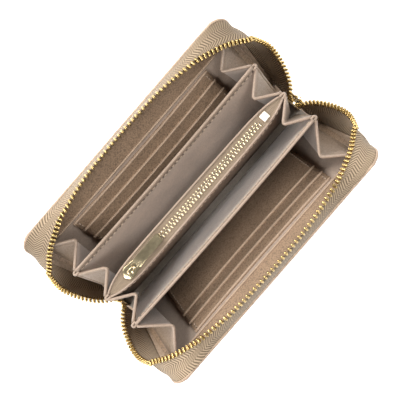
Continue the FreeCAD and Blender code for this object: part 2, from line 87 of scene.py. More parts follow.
class Leaf:
    """A leaf in millimetres when shut, and where its points go when it stands open."""

    def __init__(self, body, hinge_y, hinge_z, degrees, front=False):
        self.body, self.hinge_y, self.hinge_z, self.front = body, hinge_y, hinge_z, front
        self.c, self.s = math.cos(math.radians(degrees)), math.sin(math.radians(degrees))

    def place(self, p):
        y, z = p[1] - self.hinge_y, p[2] - self.hinge_z
        y, z = self.hinge_y + y * self.c + z * self.s, self.hinge_z - y * self.s + z * self.c
        return Vector((p[0], -y if self.front else y, z)) * MM

    def back(self, p):
        y, z = (-p[1] if self.front else p[1]) / MM - self.hinge_y, p[2] / MM - self.hinge_z
        return Vector((p[0] / MM, self.hinge_y + y * self.c - z * self.s,
                       self.hinge_z + y * self.s + z * self.c))

    def points(self, node):
        """The corners of a solid, in the shut leaf's own place, each named once."""
        seen = {}
        for v in frame["nodes"][node].data.vertices:
            p = self.back(v.co)
            seen[tuple(round(c, 2) for c in p)] = p
        return list(seen.values())

    def measure(self, node):
        """Lowest and highest corner of a solid in the shut leaf's own place."""
        points = np.array(self.points(node))
        return Vector(points.min(0)), Vector(points.max(0))


def opened_degrees(node):
    """The tilt of a flat solid, from its largest face."""
    face = max(frame["nodes"][node].data.polygons, key=lambda f: f.area)
    return math.degrees(math.atan2(abs(face.normal.z), abs(face.normal.y)))


def hinge_of(joint):
    """How far from the middle and how high a joint's axis lies."""
    return [abs(v) / MM for v in joints[joint]["pos_m"][1:]]


def degrees_to_shut(joint):
    return -joints[joint]["range_deg"][0]


leaves = {}
for half_name in ("back", "front"):
    hinge, front = hinge_of(half_name + "_cover_fold"), half_name == "front"
    for body, degrees in (
            (half_name + "_cover", opened_degrees(half_name + "_cover_facing")),
            (half_name + "_divider", degrees_to_shut(half_name + "_divider_turn"))):
        leaves[body] = Leaf(body, *hinge, degrees, front)
pocket = Leaf("coin_pocket", *hinge_of("coin_pocket_lean"), degrees_to_shut("coin_pocket_lean"))
leaves["coin_pocket"] = pocket
flat = Leaf("spine", 0, 0, 0)
for name, leaf in leaves.items():
    print(name, "stands open by", round(math.degrees(math.asin(leaf.s)), 1), "degrees")

# %% [markdown]
# ## Helpers for sewn work
# Nearly everything soft here is one of four things: a panel, a strip swept along a line, a
# row of stitches or a folded wall. Writing each helper once keeps the lesson short, and
# every mesh gets a map in millimetres, so that grain and weave have their real scale.
# A `Patch` collects points, faces and that map until it becomes a piece.
# %% Collecting a mesh


class Patch:
    def __init__(self):
        self.points, self.maps, self.faces, self.kinds = [], [], [], []

    def grid(self, rows, maps, kind=0, closed=False):
        """Adds a grid of quads. Closed joins each row's last point to its first."""
        base, width = len(self.points), len(rows[0])
        for row, row_map in zip(rows, maps):
            self.points += [Vector(p) for p in row]
            self.maps += list(row_map)
        for i in range(len(rows) - 1):
            for k in range(width if closed else width - 1):
                a, b = base + i * width + k, base + i * width + (k + 1) % width
                self.faces.append((a, b, b + width, a + width))
                self.kinds.append(kind)
        return base

    def face(self, corners, kind=0):
        self.faces.append(tuple(corners))
        self.kinds.append(kind)

    def sheet(self, front, back, maps, kinds=(0, 0), ends=True):
        """Adds two grids of the same size, joined round their rims into a thin sheet."""
        width, rows = len(front[0]), len(front)
        a, b = self.grid(front, maps, kinds[0]), self.grid(back, maps, kinds[1])
        rims = [[i * width + k for k in range(width)] for i in (0, rows - 1)] if ends else []
        rims += [[i * width + k for i in range(rows)] for k in (0, width - 1)]
        for rim in rims:
            for p, q in zip(rim, rim[1:]):
                self.face((a + p, a + q, b + q, b + p), kinds[0])
        return self

    def add(self, other):
        base = len(self.points)
        self.points += other.points
        self.maps += other.maps
        self.faces += [tuple(i + base for i in f) for f in other.faces]
        self.kinds += other.kinds
        return self


def add_object(name, data):
    placed = bpy.data.objects.new(name, data)
    bpy.context.scene.collection.objects.link(placed)
    return placed


def sheet_from(columns, levels, point, ends=True):
    """A thin sheet. point(column, level) gives its front, its back and its map there."""
    rows = [[point(column, level) for column in columns] for level in levels]
    front, back, maps = ([[p[k] for p in row] for row in rows] for k in range(3))
    return Patch().sheet(front, back, maps, ends=ends)


def make_piece(name, patch, leaf, finishes, body=None, stands_for=(),
               blended=None, weld=0.004):
    """Turns a patch into a piece with its finish. A blended piece stays in place in the world; any other is
    attached to what it moves with.
    """
    mesh = bpy.data.meshes.new(name)
    mesh.from_pydata([leaf.place(p) for p in patch.points], [], patch.faces)
    layer = mesh.uv_layers.new(name="millimetres")
    for loop in mesh.loops:
        layer.data[loop.index].uv = patch.maps[loop.vertex_index]
    for polygon, kind in zip(mesh.polygons, patch.kinds):
        polygon.material_index, polygon.use_smooth = kind, True
    for finish in finishes:
        mesh.materials.append(finish)
    work = bmesh.new()
    work.from_mesh(mesh)
    bmesh.ops.remove_doubles(work, verts=work.verts, dist=weld * MM)
    bmesh.ops.recalc_face_normals(work, faces=work.faces)
    work.to_mesh(mesh)
    work.free()
    piece = add_object(name, mesh)
    if blended:
        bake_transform(piece)
    else:
        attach(piece, body or leaf.body)
    if stands_for:
        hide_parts(*stands_for)
    print(f"{name}: {len(mesh.polygons)} faces")
    return piece


# %% [markdown]
# A panel of leather is cut from a hide, skived thin at its edges and turned over, so its rim
# is round, never sharp. Each point's distance to the rim sets how thick the panel is there.
# Columns and rows of points lie closer together near the rim, where the shape turns fastest.
# %% A panel with a soft rim


def steps_between(low, high, edge, coarse):
    """Distances that are close together near both ends and coarse between."""
    fine = [0, 0.08, 0.25, 0.5, 0.75, 1.0]
    near = [low + f * edge for f in fine]
    far = [high - f * edge for f in reversed(fine)]
    count = max(2, int((far[0] - near[-1]) / coarse))
    middle = [near[-1] + (far[0] - near[-1]) * k / count for k in range(1, count)]
    return near + middle + far


def half_width(z, x_half, z_low, z_high, r_low, r_high):
    """Half the width of a rounded rectangle at height z."""
    for r, d in ((r_low, z - z_low), (r_high, z_high - z)):
        if d < r:
            return x_half - r + math.sqrt(max(0, r * r - (r - d) ** 2))
    return x_half


def soft_panel(x_half, z_low, z_high, r_low, r_high, y_in, y_out, edge=0.5, coarse=4.0,
               lift=None, tuck=None, skive=None, flare=None):
    """A closed panel. lift(x, z) moves both faces. tuck(d) moves the inner face and
    skive(d) the outer one, by the distance d to the rim. flare(z) widens it at height z."""
    corner_angles = (0.35, 0.7, 1.05, 1.35, 1.57)
    heights = sorted(set(steps_between(z_low, z_high, edge, coarse)
                         + [z_low + r_low * (1 - math.cos(a)) for a in corner_angles]
                         + [z_high - r_high * (1 - math.cos(a)) for a in corner_angles]))
    faces, maps = ([], []), []
    for z in heights:
        w = half_width(z, x_half, z_low, z_high, r_low, r_high) + (flare(z) if flare else 0)
        xs = [x / x_half * w for x in steps_between(-x_half, x_half, edge, coarse)]
        maps.append([(x, z) for x in xs])
        for rows in faces:
            rows.append([])
        for x in xs:
            d = max(0, min(w - abs(x), z - z_low, z_high - z))
            ease = math.sqrt(1 - (1 - min(d / edge, 1)) ** 2)
            sides = (y_in + (tuck(d) if tuck else 0), y_out + (skive(d) if skive else 0))
            middle = sum(sides) / 2
            shift = lift(x, z) if lift else 0
            for rows, y in zip(faces, sides):
                rows[-1].append((x, middle + (y - middle) * ease + shift, z))
    patch = Patch()
    for rows in faces:
        patch.grid(rows, maps)
    return patch


# %% [markdown]
# Beads, turned edges and bindings are all a small section swept along a line. The section is
# given as (across, up) pairs. At each point of the line we need an up direction, the leaf's
# own normal, and the across direction follows from the two. Between two threads of a seam
# the needle leaves a small hole; a flat oval painted near black lies there as painted shade.
# %% A section swept along a line, and rows of stitches


def frames_along(path, up):
    """Each point of a line with the across and up directions there."""
    path = [Vector(p) for p in path]
    for k, p in enumerate(path):
        run = (path[min(k + 1, len(path) - 1)] - path[max(k - 1, 0)]).normalized()
        rise = Vector(up(k) if callable(up) else up)
        rise = (rise - run * rise.dot(run)).normalized()
        yield p, run.cross(rise).normalized(), rise


def oval(width, height, count=10):
    angles = [2 * math.pi * k / count for k in range(count)]
    return [(width / 2 * math.cos(a), height / 2 * math.sin(a)) for a in angles]


def cap_ends(patch, around, rows, kind=0):
    """Closes the two ends of a tube that is the only thing in its patch."""
    patch.face(range(around), kind)
    patch.face(range((rows - 1) * around, rows * around), kind)


def swept(path, section, up=(0, -1, 0), kind=0):
    patch, rows, maps, length, last = Patch(), [], [], 0.0, None
    around = [0.0]
    for a, b in zip(section, section[1:]):
        around.append(around[-1] + math.dist(a, b))
    for p, across, rise in frames_along(path, up):
        length += (p - last).length if last else 0
        last = p
        rows.append([p + across * a + rise * b for a, b in section])
        maps.append([(length, s) for s in around])
    patch.grid(rows, maps, kind, closed=True)
    cap_ends(patch, len(section), len(rows), kind)
    return patch


def resampled(path, pitch, margin=0.0):
    """Points every pitch along a line, with the direction there."""
    path = [Vector(p) for p in path]
    spans = [(b - a).length for a, b in zip(path, path[1:])]
    total = sum(spans) - 2 * margin
    count = max(1, int(total / pitch))
    found = []
    for k in range(count):
        d = margin + (total - (count - 1) * pitch) / 2 + k * pitch
        i = 0
        while i < len(spans) - 1 and d > spans[i]:
            d -= spans[i]
            i += 1
        run = (path[i + 1] - path[i]).normalized()
        found.append((path[i] + run * d, run))
    return found


stitch_pitch, stitch_length, hole_half = 3.0, 2.1, 0.38
thread_section, hole_section = oval(0.5, 0.36, 6), oval(0.55, 0.14, 6)
thread_dive = (  # place along the thread, as a share, and height above the leather
    (-0.5, -0.22), (-0.42, -0.05), (-0.2, 0.06), (0, 0.1), (0.2, 0.06), (0.42, -0.05),
    (0.5, -0.22))


def stitches(path, up=(0, -1, 0), margin=1.0, kind=0):
    """A row of lockstitches: short threads that dive into the needle holes between them.
    up is a direction, or says the direction for each run of the seam."""
    patch = Patch()
    for centre, run in resampled(path, stitch_pitch, margin):
        rise = (up(run) if callable(up) else Vector(up)).normalized()
        line = [centre + run * (stitch_length * t) + rise * s for t, s in thread_dive]
        patch.add(swept(line, thread_section, rise, kind))
        # Each needle hole is a flat oval with painted shade: its near-black colour stands for the shadow inside
        # the hole.
        hole = [centre + run * (stitch_pitch / 2 + d) for d in (-hole_half, 0, hole_half)]
        patch.add(swept(hole, hole_section, rise, kind + 1))
    return patch


# %% [markdown]
# A gusset is one wall of leather folded inward, so that it can close like bellows. It runs
# from one leaf's edge to its fold and on to the next leaf, and the fold is a small curve.
# %% A folded wall


def rounded_corner(a, corner, b, reach, steps=6):
    """From a to b by way of a corner that is rounded off."""
    p = corner + (a - corner).normalized() * reach
    q = corner + (b - corner).normalized() * reach
    line = [a + (p - a) * k / 4 for k in range(4)]
    for k in range(steps + 1):
        t = k / steps
        line.append(p * (1 - t) ** 2 + corner * 2 * t * (1 - t) + q * t * t)
    return line + [q + (b - q) * k / 4 for k in range(1, 5)]


def offset_line(line, distance):
    """The line moved sideways in the ground plane."""
    moved = []
    for k, p in enumerate(line):
        run = line[min(k + 1, len(line) - 1)] - line[max(k - 1, 0)]
        side = Vector((run.y, -run.x, 0)).normalized()
        moved.append(p + side * distance)
    return moved


def wall_patch(rows_of_lines, thickness, out_kind=0, in_kind=1):
    """A standing wall of a given thickness, whose rows are lines from the foot to the top."""
    faces = [[offset_line(line, side * thickness / 2) for line in rows_of_lines]
             for side in (1, -1)]
    maps = []
    for line in rows_of_lines:
        s, row = 0.0, []
        for k, p in enumerate(line):
            s += (p - line[k - 1]).length if k else 0
            row.append((s, p.z))
        maps.append(row)
    return Patch().sheet(*faces, maps, (out_kind, in_kind))


# %% [markdown]
# ## Finishes
# Leather is a field of small pebbles with darker creases between them. A cell pattern gives
# the pebbles, a finer one breaks up their tops, and slow noise shades the hide where it was
# stretched. All of it is worked out from the map in millimetres, so nothing is an image.
# %% Leather


def start_finish(name, roughness, metallic=0.0, specular=0.5, sheen=0.0, coat=0.0):
    material = bpy.data.materials.new(name)
    material.use_nodes = True
    tree = material.node_tree
    shader = tree.nodes["Principled BSDF"]
    shader.inputs["Roughness"].default_value = roughness
    shader.inputs["Metallic"].default_value = metallic
    shader.inputs["Specular IOR Level"].default_value = specular
    shader.inputs["Sheen Weight"].default_value = sheen
    shader.inputs["Sheen Roughness"].default_value = 0.4
    shader.inputs["Coat Weight"].default_value = coat
    return material, tree, shader


def texture_place(tree, kind="UV"):
    """Where a point lies: UV in millimetres on its piece, Object in metres."""
    return tree.nodes.new("ShaderNodeTexCoord").outputs[kind]


def parts_of(tree, vector):
    node = tree.nodes.new("ShaderNodeSeparateXYZ")
    tree.links.new(vector, node.inputs[0])
    return node.outputs


def math_node(tree, operation, a, b=None):
    node = tree.nodes.new("ShaderNodeMath")
    node.operation = operation
    for socket, value in zip(node.inputs, (a, b)):
        if isinstance(value, (int, float)):
            socket.default_value = value
        elif value is not None:
            tree.links.new(value, socket)
    return node.outputs[0]


def plus(tree, a, b, share):
    """a and a share of b."""
    return math_node(tree, "ADD", a, math_node(tree, "MULTIPLY", b, share))


def ribs(tree, along, pitch):
    """A wave that repeats every pitch."""
    return math_node(tree, "SINE", math_node(tree, "MULTIPLY", along, 2 * math.pi / pitch))


def ramp(tree, factor, stops):
    node = tree.nodes.new("ShaderNodeValToRGB")
    while len(node.color_ramp.elements) < len(stops):
        node.color_ramp.elements.new(0.5)
    for element, (position, colour) in zip(node.color_ramp.elements, stops):
        colour = colour if isinstance(colour, tuple) else (colour,) * 3
        element.position, element.color = position, (*colour, 1)
    tree.links.new(factor, node.inputs["Fac"])
    return node.outputs["Color"]


def times(tree, a, b):
    """One colour multiplied by another."""
    node = tree.nodes.new("ShaderNodeMix")
    node.data_type, node.blend_type = "RGBA", "MULTIPLY"
    node.inputs[0].default_value = 1.0
    tree.links.new(a, node.inputs[6])
    tree.links.new(b, node.inputs[7])
    return node.outputs[2]


def round_cells(tree, vector, scale):
    node = tree.nodes.new("ShaderNodeTexVoronoi")
    node.feature = "SMOOTH_F1"
    node.inputs["Scale"].default_value = scale
    node.inputs["Smoothness"].default_value = 0.35
    tree.links.new(vector, node.inputs["Vector"])
    return node.outputs["Distance"]


def noise(tree, vector, scale, detail=3.0, roughness=0.55):
    node = tree.nodes.new("ShaderNodeTexNoise")
    node.inputs["Scale"].default_value = scale
    node.inputs["Detail"].default_value = detail
    node.inputs["Roughness"].default_value = roughness
    tree.links.new(vector, node.inputs["Vector"])
    return node.outputs["Fac"]


def bump(tree, shader, height, strength, distance):
    node = tree.nodes.new("ShaderNodeBump")
    node.inputs["Strength"].default_value = strength
    node.inputs["Distance"].default_value = distance * MM
    tree.links.new(height, node.inputs["Height"])
    tree.links.new(node.outputs["Normal"], shader.inputs["Normal"])


def shade(colour, factor):
    return tuple(min(1.0, c * factor) for c in colour)


def leather_finish(name, colour, pebble, depth, roughness, contrast):
    """Grained leather. pebble and depth are its grain's size and height in millimetres."""
    material, tree, shader = start_finish(name, roughness, specular=0.4, sheen=0.04, coat=0.03)
    where = texture_place(tree)
    pebbles = round_cells(tree, where, 1 / pebble)
    fine = noise(tree, where, 2.2 / pebble, 4.0)
    hide = noise(tree, where, 0.045, 2.0)
    height = math_node(tree, "SUBTRACT", math_node(tree, "MULTIPLY", fine, 0.35), pebbles)
    tint = ramp(tree, pebbles, [(0.1, shade(colour, 1 + contrast * 0.4)),
                                (0.8, shade(colour, 1 - contrast))])
    tint = times(tree, tint, ramp(tree, hide, [(0.3, (0.9, 0.895, 0.89)), (0.7, 1.06)]))
    tint = times(tree, tint, ramp(tree, fine, [(0.3, (0.93, 0.92, 0.91)), (0.7, 1.04)]))
    tree.links.new(tint, shader.inputs["Base Color"])
    tree.links.new(plus(tree, roughness - 0.1, pebbles, 0.22), shader.inputs["Roughness"])
    bump(tree, shader, height, 0.75, depth)
    return material


outer_leather = leather_finish("outer_leather", (0.42, 0.31, 0.225), 0.9, 0.22, 0.52, 0.24)
inner_leather = leather_finish("inner_leather", (0.345, 0.237, 0.157), 0.75, 0.18, 0.52, 0.45)
gusset_leather = leather_finish("gusset_leather", (0.275, 0.199, 0.141), 0.7, 0.12, 0.5, 0.3)
turned_leather = leather_finish("turned_leather", (0.325, 0.244, 0.188), 0.6, 0.06, 0.42, 0.2)
slot_edge = leather_finish("slot_edge", (0.37, 0.27, 0.195), 0.6, 0.06, 0.45, 0.2)
print("leathers: 5")

# %% [markdown]
# Satin is woven so that long threads float on top, which is why it shines along one way. A
# fine slanted rib with a little sheen says satin. The zip's tape is a herringbone: slanted
# ribs whose slant turns over every few threads.
# %% Woven finishes


def satin_finish(name, colour):
    rib = 0.32
    material, tree, shader = start_finish(name, 0.42, specular=0.35, sheen=0.25)
    where = texture_place(tree)
    u, v, _ = parts_of(tree, where)
    threads = ribs(tree, plus(tree, u, v, 0.5), rib)
    weft = ribs(tree, v, rib * 1.7)
    soft = noise(tree, where, 0.06)
    slub = noise(tree, where, 0.9, 2.0)
    tint = ramp(tree, soft, [(0.3, shade(colour, 0.84)), (0.7, shade(colour, 1.12))])
    tint = times(tree, tint, ramp(tree, slub, [(0.35, (0.88, 0.87, 0.86)), (0.65, 1.08)]))
    tree.links.new(tint, shader.inputs["Base Color"])
    bump(tree, shader, plus(tree, threads, weft, 0.5), 0.35, 0.04)
    return material


def herringbone_finish(name, colour, dark, pitch=1.6, band=4.2):
    """Tape weave. pitch is a rib's width and band the width of one slant, in millimetres."""
    material, tree, shader = start_finish(name, 0.72, specular=0.25, sheen=0.12)
    where = texture_place(tree)
    u, v, _ = parts_of(tree, where)
    slanted = ribs(tree, math_node(tree, "SUBTRACT", u, math_node(tree, "PINGPONG", v, band)),
                   pitch)
    tint = ramp(tree, plus(tree, 0.5, slanted, 0.5), [(0.1, dark), (0.75, colour)])
    tint = times(tree, tint, ramp(tree, noise(tree, where, 0.12), [(0.3, 0.92), (0.7, 1.05)]))
    tree.links.new(tint, shader.inputs["Base Color"])
    bump(tree, shader, plus(tree, slanted, ribs(tree, v, 0.5), 0.2), 0.6, 0.14)
    return material


satin = satin_finish("satin_lining", (0.545, 0.42, 0.33))
pocket_satin = satin_finish("pocket_satin", (0.36, 0.28, 0.225))
pale_satin = satin_finish("gusset_satin", (0.38, 0.315, 0.275))
tape_weave = herringbone_finish("herringbone_tape", (0.36, 0.272, 0.186), (0.11, 0.08, 0.05))
coin_tape_weave = herringbone_finish("coin_tape", (0.30, 0.226, 0.16), (0.12, 0.09, 0.062),
                                     0.8, 1.2)
print("woven finishes: 5")

# %% [markdown]
# The metal is plated zinc in a pale gold, polished and then handled: mostly clear, with faint
# cloudy patches where it is duller. The thread is plain spun polyester.
# %% Metal, thread and board


def metal_finish(name, colour, roughness):
    material, tree, shader = start_finish(name, roughness, metallic=1.0)
    where = texture_place(tree, "Object")
    haze = noise(tree, where, 260, 4.0, 0.6)
    fine = noise(tree, where, 2600, 2.0)
    tree.links.new(plus(tree, roughness - 0.1, haze, 0.22), shader.inputs["Roughness"])
    tint = ramp(tree, haze, [(0.35, shade(colour, 0.86)), (0.65, colour)])
    tree.links.new(tint, shader.inputs["Base Color"])
    bump(tree, shader, fine, 0.12, 0.02)
    return material


def plain_finish(name, colour, scale, roughness=0.8, depth=0.05):
    material, tree, shader = start_finish(name, roughness, specular=0.3, sheen=0.1)
    fibre = noise(tree, texture_place(tree, "Object"), scale, 4.0)
    tint = ramp(tree, fibre, [(0.3, shade(colour, 0.82)), (0.7, shade(colour, 1.08))])
    tree.links.new(tint, shader.inputs["Base Color"])
    bump(tree, shader, fibre, 0.4, depth)
    return material


gold = metal_finish("pale_gold", (0.80, 0.67, 0.43), 0.17)
tooth_gold = metal_finish("tooth_gold", (0.55, 0.40, 0.17), 0.24)
coin_gold = metal_finish("coin_tooth_gold", (0.72, 0.62, 0.43), 0.2)
plate_gold = metal_finish("plate_gold", (0.97, 0.92, 0.80), 0.5)
thread = plain_finish("thread", (0.47, 0.36, 0.27), 1800, 0.7, 0.03)
# Painted shade: the needle holes' near-black colour stands for the shadow inside them.
needle_hole_shade = plain_finish("needle_hole_shade", (0.07, 0.048, 0.034), 1800, 0.8, 0.03)
fibre_board = plain_finish("fibre_board", (0.5, 0.43, 0.34), 900)
print("metals and plain finishes: 7")

# %% [markdown]
# ## The outer leather
# One long piece of pebbled leather wraps the whole wallet: up one cover, round the spine and
# up the other. It must bend where the covers fold, so we make it as two halves that meet in
# the middle of the spine, each shaped round the fold between the spine and its cover. On the
# cover it is a panel with a thick rim, because there the leather is turned over the board.
# %% Wrap of each cover
rim_tuck, rim_width = 0.75, 1.4     # how much thicker the turned rim is, and how wide
skive_depth, skive_width = 0.75, 3.5
rim_spread = 2.2    # how far the soft leather stands out at the top corners
rim_rise = 0.8      # and above the top edge
fold_lap = 3.3      # the fold runs on up the cover, over the panel's skived foot
spread_from, spread_short = 12, 18  # where the spread starts above the fold, ends below the top
bend_under, bend_over = 2.4, 1.5    # the bend's reach below and above the cover's hinge


def smooth_step(t):
    t = min(1, max(0, t))
    return t * t * (3 - 2 * t)


def spread(z, low, high):
    """Share of the spread at height z: none at the fold, all of it near the top."""
    return smooth_step((z - low - spread_from) / (high - low - (spread_from + spread_short)))


def wrap_half(half_name):
    cover = leaves[half_name + "_cover"]
    low, high = cover.measure(half_name + "_cover_leather")
    sign = -1 if cover.front else 1
    patch = soft_panel(
        high.x, low.z, high.z + rim_rise, 3.0, 10.0, low.y, high.y, 0.6, 3.0,
        tuck=lambda d: -rim_tuck * (1 - min(1, max(0, (d - rim_width) / 0.8))),
        skive=lambda d: -skive_depth * (1 - min(1, d / skive_width)) ** 2,
        flare=lambda z: rim_spread * spread(z, low.z, high.z))
    patch.points = [cover.place(p) / MM for p in patch.points]
    r_out, thick = cover.hinge_z, high.y - low.y
    angles = [math.radians(a) for a in np.linspace(-90, -math.degrees(math.asin(cover.s)), 9)]
    xs = steps_between(-high.x, high.x, 0.5, 3.0)
    lines = []
    for r in (r_out, r_out - thick):
        line = [(y, r_out - r) for y in np.linspace(0, cover.hinge_y, 6)[:-1]]
        line += [(cover.hinge_y + r * math.cos(a), r_out + r * math.sin(a)) for a in angles]
        y, z = line[-1]
        line.append((y + fold_lap * cover.s, z + fold_lap * cover.c))
        lines.append(line)
        rows, maps, s = [], [], 0.0
        for k, (y, z) in enumerate(line):
            s += math.dist(line[k - 1], (y, z)) if k else 0
            rows.append([(x, sign * y, z) for x in xs])
            maps.append([(x, -s) for x in xs])
        patch.grid(rows, maps)
    for x in (-high.x, high.x):
        a, b = ([(x, sign * y, z) for y, z in line] for line in lines)
        patch.grid([a, b], [[(p[1], 0) for p in a], [(p[1], thick) for p in b]])
    hinge = Vector((0, sign * cover.hinge_y, cover.hinge_z)) * MM
    up = Vector((0, sign * cover.s, cover.c)) * MM
    return make_piece(half_name + "_wrap", patch, flat, [outer_leather],
                      stands_for=[half_name + "_cover_leather", "spine_leather"],
                      blended=("spine", cover.body, hinge - up * bend_under,
                               hinge + up * bend_over))


for half_name in ("back", "front"):
    wrap_half(half_name)

# %% [markdown]
# ## Inside the covers
# A cover is lined with fine-grained leather. On it lies a fabric pocket, and on that a block
# of three card slots. Each slot is a leather sheet whose top edge is turned over, so its
# mouth is a soft round bead that sags a little where cards pull it. The sheets are sewn down
# at both sides, and we make those stitches as real threads.
# %% Linings, fabric pockets and card slots
slot_levels = (0, 0.02, 0.3, 0.6, 0.8, 0.9, 0.96, 1.0)
slot_belly = 0.35     # how far a mouth's middle stands out
seam_gap = 0.05       # thread above the leather
seam_inset = 2.0      # seam to the sheets' side edges
foot_height = 20      # a slot's corners above this belong to its mouth


def card_slot(cover, node, name):
    low, high = cover.measure(node)
    mouth = sorted((p for p in cover.points(node) if p.z > low.z + foot_height),
                   key=lambda p: p.x)
    xs = np.linspace(low.x, high.x, 41)
    edge = list(zip(xs, np.interp(xs, [p.x for p in mouth], [p.z for p in mouth])))

    def belly(x):
        return slot_belly * (1 - (x / high.x) ** 4)

    def point(column, t):
        x, z = column[0], low.z + (column[1] - low.z) * t
        return (x, low.y - belly(x) * t ** 3, z), (x, high.y, z), (x, z)

    patch = sheet_from(edge, slot_levels, point)
    middle = (low.y + high.y) / 2 - 0.2
    bead = [(x, middle - belly(x), z - 0.45) for x, z in edge]
    patch.add(swept(bead, oval(1.1, 1.35), kind=1))
    make_piece(name, patch, cover, [inner_leather, slot_edge],
               stands_for=[node])


def line_cover(half_name):
    cover = leaves[half_name + "_cover"]
    low, high = cover.measure(half_name + "_cover_facing")
    panel = soft_panel(high.x, low.z, high.z, 3.0, 7.8, low.y, high.y, 0.4, 5.0)
    make_piece(half_name + "_lining", panel, cover, [inner_leather],
               stands_for=[half_name + "_cover_facing"])
    low, high = cover.measure(half_name + "_slip_pocket")
    slip = soft_panel(high.x, low.z, high.z, 3.0, 3.0, low.y, high.y, 0.3, 4.0)
    edge = [(x, low.y, high.z - 0.35) for x in np.linspace(-high.x + 3, high.x - 3, 30)]
    slip.add(swept(edge, oval(1.2, 1.2, 8), kind=1))
    make_piece(half_name + "_fabric_pocket", slip, cover, [pocket_satin, slot_edge],
               stands_for=[half_name + "_slip_pocket"])
    for place in ("top", "middle", "bottom"):
        card_slot(cover, f"{half_name}_card_slot_{place}", f"{half_name}_slot_{place}")
    low, high = cover.measure(half_name + "_card_slot_bottom")
    top_low, top_high = cover.measure(half_name + "_card_slot_top")
    y, top_y = low.y - seam_gap, top_low.y - seam_gap
    sewn = Patch()
    for x in (seam_inset - high.x, high.x - seam_inset):
        sewn.add(stitches([(x, y, low.z + 2), (x, y, high.z - 2)]))
        sewn.add(stitches([(x, top_y, high.z + 11), (x, top_y, top_high.z - 2)], margin=0.3))
    sewn.add(stitches([(x, y, low.z + 1.6) for x in (3 - high.x, high.x - 3)]))
    make_piece(half_name + "_slot_stitching", sewn, cover, [thread, needle_hole_shade])


for half_name in ("back", "front"):
    line_cover(half_name)

# %% [markdown]
# ## The main zip
# The tape is a ribbon sewn under the cover's rim, from one end of the spine round to the
# other. It flares inward, because the chain it carries is shorter than the cover's edge. We
# read the ribbon's cross lines off the solid: its corners come in pairs one tape's thickness
# apart, and walking from pair to neighbouring pair gives both edges in order.
# %% Tape of each cover


def walk(points, start):
    """Orders points by going on to the nearest one left."""
    left, line = list(points), []
    here = min(left, key=lambda p: (p - start).length)
    while left:
        left.remove(here)
        line.append(here)
        if left:
            here = min(left, key=lambda p: (p - line[-1]).length)
    return line


tape_thickness, tape_crown = 0.5, 0.55
tape_shares = (0, 0.08, 0.25, 0.45, 0.65, 0.85, 0.95, 1.0)


def tape_lines(half_name):
    """The sewn edge and the chain edge of the tape, in the shut cover's place."""
    cover = leaves[half_name + "_cover"]
    low, high = cover.measure(half_name + "_cover_leather")
    left, seam, chain = cover.points(half_name + "_zip_tape"), [], []
    while len(left) > 1:
        p = left.pop(0)
        gap, k = min((abs((p - q).length - tape_thickness), k) for k, q in enumerate(left))
        if gap < 0.02:
            middle = (p + left.pop(k)) / 2
            (seam if middle.y > low.y - 1.5 else chain).append(middle)
    for p in seam:
        share = spread(p.z, low.z, high.z)
        p.x += rim_spread * share * p.x / high.x
        p.z += rim_rise * share
    start = Vector((high.x, 0, 0))
    return walk(seam, start), walk(chain, start)


def step_along(line, k):
    return line[min(k + 1, len(line) - 1)] - line[max(k - 1, 0)]


def zip_tape(half_name):
    cover = leaves[half_name + "_cover"]
    seam, chain = tape_lines(half_name)
    print(half_name, "tape lines:", len(seam), len(chain))
    top, under, maps, s = [], [], [], 0.0
    for k, (a, b) in enumerate(zip(seam, chain)):
        if k:
            s += ((b - chain[k - 1]).length + (a - seam[k - 1]).length) / 2
        across = b - a
        through = (step_along(seam, k) + step_along(chain, k)).cross(across).normalized()
        if through.y > 0:
            through = -through
        half = through * (tape_thickness / 2)
        row = [a + across * t - through * (tape_crown * math.sin(math.pi * t))
               for t in tape_shares]
        top.append([p + half for p in row])
        under.append([p - half for p in row])
        maps.append([(s, across.length * t) for t in tape_shares])
    patch = Patch().sheet(top, under, maps)
    patch.add(swept([p + (q - p).normalized() * -0.1 for p, q in zip(chain, seam)],
                    oval(1.0, 1.0, 8)))
    return make_piece(half_name + "_tape", patch, cover, [tape_weave],
                      stands_for=[half_name + "_zip_tape"], blended=zip_bend(cover))


def zip_bend(cover):
    """The spine, the cover, and two points 15 mm up at the given distances from the wallet's
    middle: one near the slider and one out on the cover."""
    near, far = 4.5, 14.0    # distances from the wallet's middle
    return ("spine", cover.body,
            *(Vector((0, -y if cover.front else y, 15)) * MM for y in (near, far)))


for half_name in ("back", "front"):
    zip_tape(half_name)

# %% [markdown]
# A cast tooth grips the tape's cord with two jaws and ends in a small head with a hollow,
# which is what the next tooth's head sits in. The solid shows where each tooth is and which
# way it points, so we find each one's own axes from its corners and set a better tooth there.
# %% Teeth of both zips


def islands(node):
    """The corners of each separate solid of a node."""
    mesh = frame["nodes"][node].data
    work = bmesh.new()
    work.from_mesh(mesh)
    bmesh.ops.remove_doubles(work, verts=work.verts, dist=0.01 * MM)
    left, found = set(work.verts), []
    while left:
        group, queue = [], [left.pop()]
        while queue:
            v = queue.pop()
            group.append(v.co.copy() / MM)
            for e in v.link_edges:
                w = e.other_vert(v)
                if w in left:
                    left.remove(w)
                    queue.append(w)
        found.append(group)
    work.free()
    return found


def tooth_axes(corners):
    """Centre, directions of reach, thickness and width, and length, half thickness and half
    width of a tooth."""
    points = np.array([tuple(p) for p in corners])
    centre = points.mean(0)
    _, directions = np.linalg.eigh(np.cov((points - centre).T))
    width, thick, reach = (Vector(directions[:, k]) for k in range(3))
    spans = [(Vector(p).dot(reach), abs(Vector(p).dot(thick))) for p in points - centre]
    far = max((abs(a), t) for a, t in spans if a > 0)
    near = max((abs(a), t) for a, t in spans if a <= 0)
    ends = [a for a, _ in spans]
    if far[1] > near[1]:
        reach, ends = -reach, [-a for a in ends]
    mid = Vector(centre) + reach * ((max(ends) + min(ends)) / 2)
    half = max(abs(Vector(p).dot(width)) for p in points - centre)
    return (mid, reach, reach.cross(width).normalized(), width, max(ends) - min(ends),
            max(t for _, t in spans), half)


